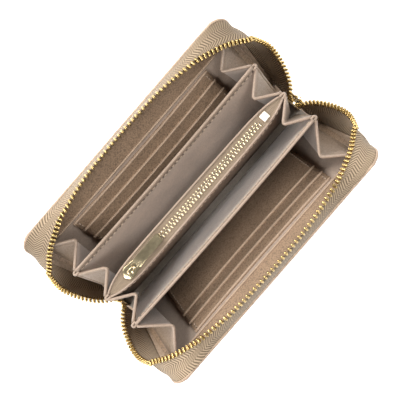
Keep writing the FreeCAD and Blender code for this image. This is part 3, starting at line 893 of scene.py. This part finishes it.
tooth_rings = (  # place along the reach, half thickness, half width, as shares
    (-0.50, 0.55, 0.55), (-0.47, 0.88, 0.86), (-0.38, 1.0, 1.0), (-0.05, 0.98, 1.0),
    (0.12, 0.72, 0.9), (0.26, 0.55, 0.88), (0.40, 0.60, 0.95), (0.47, 0.48, 0.78),
    (0.50, 0.25, 0.45))
ring_points = 12
squareness = 0.55     # below one, a ring is squarer than an ellipse


def tooth_patch(corners):
    mid, reach, thick, width, length, half_thick, half = tooth_axes(corners)
    angles = [2 * math.pi * k / ring_points for k in range(ring_points)]
    ring = [[math.copysign(abs(v) ** squareness, v) for v in (math.cos(a), math.sin(a))]
            for a in angles]
    rows = [[mid + reach * (along * length) + thick * (c * t * half_thick)
             + width * (s * w * half) for c, s in ring] for along, t, w in tooth_rings]
    maps = [[(i * 0.3, k * 0.3) for k in range(ring_points)] for i in range(len(rows))]
    patch = Patch()
    patch.grid(rows, maps, closed=True)
    cap_ends(patch, ring_points, len(rows))
    return patch


def set_teeth(name, node, body, finish, blended=None):
    row = Patch()
    groups = islands(node)
    for corners in groups:
        row.add(tooth_patch(corners))
    print(name, "teeth:", len(groups))
    return make_piece(name, row, flat, [finish], body=body,
                      stands_for=[node], blended=blended, weld=0.0005)


for half_name in ("back", "front"):
    cover = leaves[half_name + "_cover"]
    set_teeth(half_name + "_teeth", half_name + "_zip_teeth", None, tooth_gold, zip_bend(cover))
for side in ("back", "front"):
    set_teeth(f"coin_{side}_teeth", f"coin_zip_{side}_teeth", "coin_pocket", coin_gold)

# %% [markdown]
# ## The dividers
# Two dividers stand between the covers and the coin pocket. Each is leather on the outer
# side and satin on the side of the coin pocket, with a leather binding turned over the top
# and stitched just below it. A real one is never flat: its top edge bows a little, and the
# satin lies in shallow waves.
# %% Dividers


binding_reach = 0.75      # half the width of the turned-over leather
satin_waves = ((0.11, 0.4, 0.2), (0.21, 2.1, 0.12), (0.055, 4.0, 0.25))  # rate, start, size
satin_lift = 0.35 / 0.45  # scales those sizes
wave_slant = 0.35         # how far a wave moves along the divider for each step up


def dress_divider(half_name, bow):
    """Leather, satin, binding and seam of a divider whose middle bows by the given amount."""
    leaf = leaves[half_name + "_divider"]
    leather = half_name + "_divider_leather"
    low, high = leaf.measure(leather)
    foot = min(leaf.points(leather), key=lambda p: (round(p.z, 1), p.y))
    crest = max(leaf.points(leather), key=lambda p: (round(p.z, 1), -p.y))
    slope = (crest.y - foot.y) / (crest.z - foot.z)

    def up_share(z):
        return (z - low.z) / (high.z - low.z)

    def shape(x, z):
        return (foot.y + (z - foot.z) * slope
                - bow * up_share(z) ** 2 * (1 - (x / high.x) ** 2))

    def ripple(x, z):
        waves = sum(a * math.sin(f * (x + z * wave_slant) + p) for f, p, a in satin_waves)
        return satin_lift * waves * math.sin(math.pi * min(1, max(0, up_share(z))))

    face = soft_panel(high.x, low.z, high.z, 0.6, 0.6, 0.0, 0.6, 0.25, 4.0, lift=shape)
    make_piece(half_name + "_divider_face", face, leaf, [inner_leather],
               stands_for=[leather])
    satin_side = soft_panel(high.x, low.z, high.z - 0.5, 0.6, 0.6, -0.5, -0.02, 0.2, 3.0,
                            lift=lambda x, z: shape(x, z) - max(0, ripple(x, z)))
    make_piece(half_name + "_divider_satin", satin_side, leaf, [satin],
               stands_for=[half_name + "_divider_fabric"])
    bind_low, bind_high = leaf.measure(half_name + "_divider_binding")
    top, depth, reach = bind_high.z, bind_high.z - bind_low.z, binding_reach
    outside = [(reach, -depth), (reach + 0.05, -depth * 0.5), (reach, -0.7),
               (reach * 0.7, -0.15)]
    section = outside + [(0.0, 0.0)] + [(-x, z) for x, z in reversed(outside)]
    section += [(-reach + 0.25, -depth), (0.0, -1.2), (reach - 0.25, -depth)]
    xs = np.linspace(-high.x, high.x, 49)
    edge = [(x, shape(x, top) + 0.05, top) for x in xs]
    make_piece(half_name + "_divider_edge", swept(edge, section, up=(0, slope, 1)), leaf,
               [turned_leather],
               stands_for=[half_name + "_divider_binding"])
    sewn = Patch()
    z = top - depth + 0.75
    for side in (-1, 1):
        line = [(x, shape(x, z) + 0.05 + side * (reach + 0.06), z) for x in xs]
        sewn.add(stitches(line, up=(0, side, 0)))
    make_piece(half_name + "_divider_stitching", sewn, leaf, [thread, needle_hole_shade])


dress_divider("back", 0.9)
dress_divider("front", -0.8)

# %% [markdown]
# ## The coin pocket
# Two leather walls meet at their foot and belly out towards the mouth, like a slim purse. Its
# zip lies level with the mouth on a tape of its own. We read the mouth's width off the solid
# and let the wall swell smoothly from foot to mouth, with the mouth's edge turned over.
# %% Walls and tape


def mouth_line(side):
    """X and distance from the middle of a wall's inner face at the mouth."""
    node = f"coin_pocket_{side}_wall"
    top, by_x = pocket.measure(node)[1].z, {}
    for p in pocket.points(node):
        if p.z > top - 0.5:
            by_x.setdefault(round(p.x, 1), []).append(abs(p.y))
    xs = sorted(by_x)
    return xs, [min(by_x[x]) for x in xs]


wall_swell = (  # height and distance from the middle, as shares
    (0, 0.05), (0.25, 0.33), (0.5, 0.62), (0.75, 0.84), (0.9, 0.95), (0.97, 0.99), (1, 1))
tape_sag = 0.25


def coin_wall(side):
    sign = 1 if side == "back" else -1
    node = f"coin_pocket_{side}_wall"
    xs, widths = mouth_line(side)
    low, high = pocket.measure(node)
    columns = np.unique(np.concatenate([np.linspace(low.x, high.x, 61), xs]))

    def point(x, level):
        t, share = level
        z, y = low.z + (high.z - low.z) * t, np.interp(x, xs, widths) * share
        ripple = 0.22 * math.sin(x * 0.13 + 1) * math.sin(math.pi * t)
        return (x, sign * y, z), (x, sign * (y + 0.8 + max(0, ripple)), z), (x, z)

    def along(outward, drop, margin=-1):
        return [(x, sign * (np.interp(x, xs, widths) + outward), high.z - drop)
                for x in columns if abs(x) < high.x - margin]

    patch = sheet_from(columns, wall_swell, point)
    patch.add(swept(along(0.45, 0.1), oval(1.2, 1.5), up=(0, 0, 1), kind=1))
    make_piece(f"coin_{side}_wall", patch, pocket, [inner_leather, turned_leather],
               stands_for=[node])
    make_piece(f"coin_{side}_stitching", stitches(along(0.86, 3.4, 2), up=(0, sign, 0)),
               pocket, [thread, needle_hole_shade])


def coin_tape(side):
    sign = 1 if side == "back" else -1
    node = f"coin_zip_{side}_tape"
    xs, widths = mouth_line(side)
    low, high = pocket.measure(node)
    wall_low, wall_high = pocket.measure(f"coin_pocket_{side}_wall")
    chain_low, chain_high = pocket.measure(f"coin_zip_{side}_teeth")

    def point(t, x):
        outer = np.interp(x, xs, widths) + 0.1
        start = min(0.3, outer - 0.2) if chain_low.x < x < chain_high.x else 0.0
        y = start + (outer - start) * t
        z = (low.z + high.z) / 2 - tape_sag * math.sin(math.pi * min(1, t * 0.9))
        return (x, sign * y, z + 0.25), (x, sign * y, z - 0.25), (x, y)

    columns = np.linspace(wall_low.x + 0.3, wall_high.x - 0.3, 93)
    patch = sheet_from((0, 0.12, 0.35, 0.6, 0.85, 1.0), columns, point, ends=False)
    make_piece(f"coin_{side}_tape", patch, pocket, [coin_tape_weave],
               stands_for=[node])


for side in ("back", "front"):
    coin_wall(side)
    coin_tape(side)

# %% [markdown]
# ## The gussets
# Bellows of leather close the ends of each compartment. Outside they are leather, inside
# satin, and their top edge is turned over as a pale bead that draws a zigzag from cover to
# cover. Where a gusset passes a leaf's end, it wraps round it in a small loop, and its edge
# is turned in under that loop. When the wallet shuts, a gusset is carried partly by the leaf
# on either side. So we choose, by least squares, the line along which its share of the
# cover's turn grows.
# %% Folded walls between the leaves


def share_to_step(share):
    """The place along a bend at which a smooth step reaches the given share."""
    return 0.5 - math.sin(math.asin(1 - 2 * share) / 3)


def bend_between(anchors, hinge):
    """Start and end of the bend that best gives each anchor point its step along the bend."""
    weights = np.array([(p - hinge).length * weight for p, _, weight in anchors])
    rows = np.array([[*p, 1.0] for p, _, _ in anchors])
    wanted = np.array([step for _, step, _ in anchors])
    fit, *_ = np.linalg.lstsq(rows * weights[:, None], wanted * weights, rcond=None)
    g = Vector(fit[:3])
    start = -g * (fit[3] / g.length_squared)
    return start * MM, (start + g / g.length_squared) * MM


def gusset_corners(node):
    """Foot and top of the near edge, the fold and the far edge, in place, in millimetres."""
    unique = {}
    for v in frame["nodes"][node].data.vertices:
        unique[tuple(round(c / MM, 1) for c in v.co)] = v.co / MM
    by_height = sorted(unique.values(), key=lambda p: p.z)
    foot, top = (sorted(ring, key=lambda p: p.y) for ring in (by_height[:6], by_height[6:]))
    print(node, "corners:", len(unique))
    return [((foot[k] + foot[k + 1]) / 2, (top[k] + top[k + 1]) / 2) for k in (0, 2, 4)]


seam_allowance = 1.6       # how far a gusset's edge is turned in under the end loop
bend_margin = 0.12         # how far beyond the seams the bend is already complete
gusset_levels = (0, 0.15, 0.35, 0.55, 0.75, 0.9, 1.0)
fold_radius, gusset_swell, seam_drop = 2.2, 0.5, 1.9


def gusset_piece(half_name, end_name, place, share, body):
    """One gusset. share is how much of its body's turn the seam nearer the middle takes."""
    node = f"{half_name}_{end_name}_gusset_{place}"
    side = 1 if end_name == "right" else -1
    near, fold, far = gusset_corners(node)
    loose_top = 0.2 if share else seam_allowance
    walls = []
    for t in gusset_levels:
        line = rounded_corner(*(p + (q - p) * t for p, q in (near, fold, far)), fold_radius)
        last, swell = len(line) - 1, side * gusset_swell * math.sin(math.pi * t)
        line = [p + Vector((swell * math.sin(2 * math.pi * k / last) ** 2, 0, 0))
                for k, p in enumerate(line)]
        turned_in = Vector((0, min(seam_allowance, loose_top + 8 * (1 - t)), 0))
        before = [line[0] - turned_in] if place == "inner" or half_name == "back" else []
        after = [line[-1] + turned_in] if place == "inner" or half_name == "front" else []
        walls.append(before + line + after)
    patch = wall_patch(walls, 0.6, *((0, 1) if side > 0 else (1, 0)))
    patch.add(swept([p + Vector((0, 0, -0.15)) for p in line], oval(1.6, 1.5),
                    up=(0, 0, 1), kind=2))
    for face in (-1, 1):
        seam = offset_line([p - Vector((0, 0, seam_drop)) for p in line], face * 0.42)
        patch.add(stitches(seam[1:-1], lambda run: Vector((run.y, -run.x, 0)) * face, kind=3))
    cover = leaves[half_name + "_cover"]
    hinge = Vector((0, math.copysign(cover.hinge_y, near[1].y + far[1].y), cover.hinge_z))
    inward, outward = (near, far) if half_name == "back" else (far, near)
    anchors = []
    for (foot, top), step, weight in (
            (inward, share_to_step(share) if share else -bend_margin, 3),
            (fold, share_to_step((share + 1) / 2), 1), (outward, 1 + bend_margin, 3)):
        anchors += [(foot + (top - foot) * t, step, weight) for t in (0.3, 0.6, 1.0)]
    return make_piece(f"{half_name}_{end_name}_{place}_gusset", patch, flat,
                      [gusset_leather, pale_satin, turned_leather, thread, needle_hole_shade],
                      stands_for=[node],
                      blended=("spine", body, *bend_between(anchors, hinge)))


couplings = {c["joint"]: c["ratio"] for c in frame["record"]["behaviour"]["couplings"]}
print("shares of the covers' turns:", couplings)

for half_name in ("back", "front"):
    own = couplings[half_name + "_divider_turn"]
    coin = couplings["coin_pocket_lean"] / own if half_name == "back" else 0
    for end_name in ("left", "right"):
        gusset_piece(half_name, end_name, "outer", own, half_name + "_cover")
        gusset_piece(half_name, end_name, "inner", coin, half_name + "_divider")

# %% [markdown]
# At each leaf's end the two gussets beside it are one strip that passes round the end. The
# loop is a tall half tube, and its upper rim carries the same pale bead.
# %% Loops round the leaves' ends


loop_reach, loop_half = 1.3, 0.8    # leaf's edge to the loop's bend, and its half width
leg_insets = (1.9, 1.2, 0.5)        # how far the loop's legs run back beside the leaf


def end_loop(name, leaf, leaf_half, foot, top):
    """A strip round both ends of a leaf. foot and top are the Y and Z of its middle."""
    patch, bend = Patch(), leaf_half + loop_reach
    arc = [(bend + loop_half * math.cos(a), loop_half * math.sin(a))
           for a in np.radians(np.linspace(-90, 90, 11))]
    legs = [(bend - inset, -loop_half) for inset in leg_insets]
    outline = legs + arc + [(x, -y) for x, y in reversed(legs)]
    for side in (-1, 1):
        middles = [[a + (b - a) * t for a, b in zip(foot, top)]
                   for t in (0, 0.2, 0.4, 0.6, 0.8, 1.0)]
        rows = [[Vector((side * x, y + across, z)) for x, across in outline]
                for y, z in middles]
        patch.add(wall_patch(rows, 0.6, 0, 0))
        patch.add(swept([p + Vector((0, 0, -0.1)) for p in rows[-1]], oval(1.45, 1.4),
                        up=(0, 0, 1), kind=1))
    return make_piece(name, patch, leaf, [gusset_leather, turned_leather])


for half_name in ("back", "front"):
    leaf = leaves[half_name + "_divider"]
    low, high = leaf.measure(half_name + "_divider_leather")
    end_loop(half_name + "_divider_loops", leaf, high.x,
             (low.y + 0.05, low.z + 1.7), (high.y - 0.65, high.z - 1.9))
low, high = pocket.measure("coin_pocket_back_wall")
end_loop("coin_pocket_loops", pocket, high.x, (0, low.z + 1.9), (0, high.z + 0.05))

# %% [markdown]
# ## Spine and metal parts
# The spine is lined with dark satin, and each end carries the joined tails of the zip. The
# sliders, pullers and stops are die-cast. Their solids are right, so a copy of each is given
# softly rounded edges, as a casting has, and a plated finish. The pullers are left bare.
# %% Spine, tails, sliders, pullers and stops


def softened(node, finish, width, body):
    """A copy of a solid with rounded edges."""
    mesh = frame["nodes"][node].data.copy()
    work = bmesh.new()
    work.from_mesh(mesh)
    bmesh.ops.remove_doubles(work, verts=work.verts, dist=0.005 * MM)
    bmesh.ops.dissolve_limit(work, angle_limit=math.radians(2), verts=work.verts,
                             edges=work.edges)
    work.to_mesh(mesh)
    work.free()
    mesh.materials.clear()
    mesh.materials.append(finish)
    piece = add_object(node.replace("_zip", "") + "_soft", mesh)
    edge = piece.modifiers.new("rounded edges", "BEVEL")
    edge.width, edge.segments, edge.limit_method = width * MM, 3, "ANGLE"
    edge.angle_limit = math.radians(30)
    edge.use_clamp_overlap = True
    bpy.context.view_layer.update()
    rounded = bpy.data.meshes.new_from_object(
        piece.evaluated_get(bpy.context.evaluated_depsgraph_get()))
    piece.modifiers.clear()
    piece.data = rounded
    for polygon in rounded.polygons:
        polygon.use_smooth = True
    rounded.set_sharp_from_angle(angle=math.radians(50))
    layer = (rounded.uv_layers[0] if rounded.uv_layers
             else rounded.uv_layers.new(name="millimetres"))
    for loop in rounded.loops:
        p = rounded.vertices[loop.vertex_index].co / MM
        layer.data[loop.index].uv = (p.x + p.z, p.y)
    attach(piece, body)
    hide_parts(node)
    print(piece.name, len(rounded.polygons), "faces")


dark_satin = satin_finish("spine_satin", (0.17, 0.14, 0.11))
softened("spine_lining", dark_satin, 0.2, "spine")
for end_name in ("left", "right"):
    softened(f"zip_tail_{end_name}", tape_weave, 0.15, "spine")
for node, body in (("main_zip_slider", "main_slider"), ("main_zip_puller", "main_puller"),
                   ("coin_zip_slider", "coin_slider"), ("coin_zip_puller", "coin_puller"),
                   ("coin_zip_top_stops", "coin_pocket"),
                   ("main_zip_bottom_stop", "spine")):
    softened(node, gold, 0.22, body)
softened("coin_zip_end_plate", plate_gold, 0.22, "coin_pocket")
for half_name in ("back", "front"):
    softened(half_name + "_zip_top_stop", gold, 0.2, half_name + "_cover")
    node = frame["nodes"][half_name + "_cover_board"]
    node.data.materials.clear()
    node.data.materials.append(fibre_board)

# %% [markdown]
# ## Camera, light and table
# The wallet is seen from high above, turned so that its spine runs from lower left to upper
# right. A long lens keeps the far cover and the near one almost the same size. The main
# light is soft and comes from behind the back cover, so that cover's inside lies in gentle
# shade. Two smaller lamps above the ends reach down into the compartments.
# %% Camera
camera_data = bpy.data.cameras.new("camera")
camera = add_object("camera", camera_data)
bpy.context.scene.camera = camera
camera_data.lens, camera_data.sensor_width = 109.08, 36.0
camera_data.clip_start, camera_data.clip_end = 0.02, 20
forward = Vector((-0.0353, 0.0501, -1)).normalized()
right = Vector((0.656, -0.755, 0))
right = (right - forward * right.dot(forward)).normalized()
upward = right.cross(forward)
camera.matrix_world = Matrix((
    (right.x, upward.x, -forward.x, 0.0218), (right.y, upward.y, -forward.y, -0.0289),
    (right.z, upward.z, -forward.z, 0.680), (0, 0, 0, 1)))

# %% Light and table


def soft_light(name, place, size, watts):
    data = bpy.data.lights.new(name, "AREA")
    data.shape, data.size, data.energy, data.color = "DISK", size, watts, (1, 0.985, 0.96)
    light = add_object(name, data)
    light.location = place
    light.rotation_mode = "QUATERNION"
    aim = Vector((0, 0, 0.04)) - Vector(place)
    light.rotation_quaternion = aim.to_track_quat("-Z", "Y")


soft_light("key", (-0.16, 0.84, 0.62), 0.7, 12.5)
soft_light("left end", (-0.66, 0.0, 0.92), 0.5, 10)
soft_light("right end", (0.56, 0.02, 1.0), 0.5, 9)
world = bpy.data.worlds.new("room")
bpy.context.scene.world = world
world.use_nodes = True
room = world.node_tree
upwards = parts_of(room, texture_place(room, "Generated"))[2]
walls_and_ceiling = [(0.0, 0.9), (0.2, 0.9), (0.6, 0.38), (0.95, 0.2)]
room.links.new(ramp(room, upwards, walls_and_ceiling), room.nodes["Background"].inputs["Color"])
bpy.context.scene.view_settings.view_transform = "Standard"

table_half, table_gap = 3.0, 0.0002     # the table lies just under the wallet
table_mesh = bpy.data.meshes.new("table")
table_mesh.from_pydata([(x * table_half, y * table_half, cad_box[0].z - table_gap)
                        for x, y in ((-1, -1), (1, -1), (1, 1), (-1, 1))], [], [(0, 1, 2, 3)])
table = add_object("table", table_mesh)
table_white = plain_finish("table_white", (0.93, 0.93, 0.93), 40, 0.9, 0.0)
glow = table_white.node_tree.nodes["Principled BSDF"]
glow.inputs["Emission Color"].default_value = (1, 1, 1, 1)
glow.inputs["Emission Strength"].default_value = 0.4
table_mesh.materials.append(table_white)
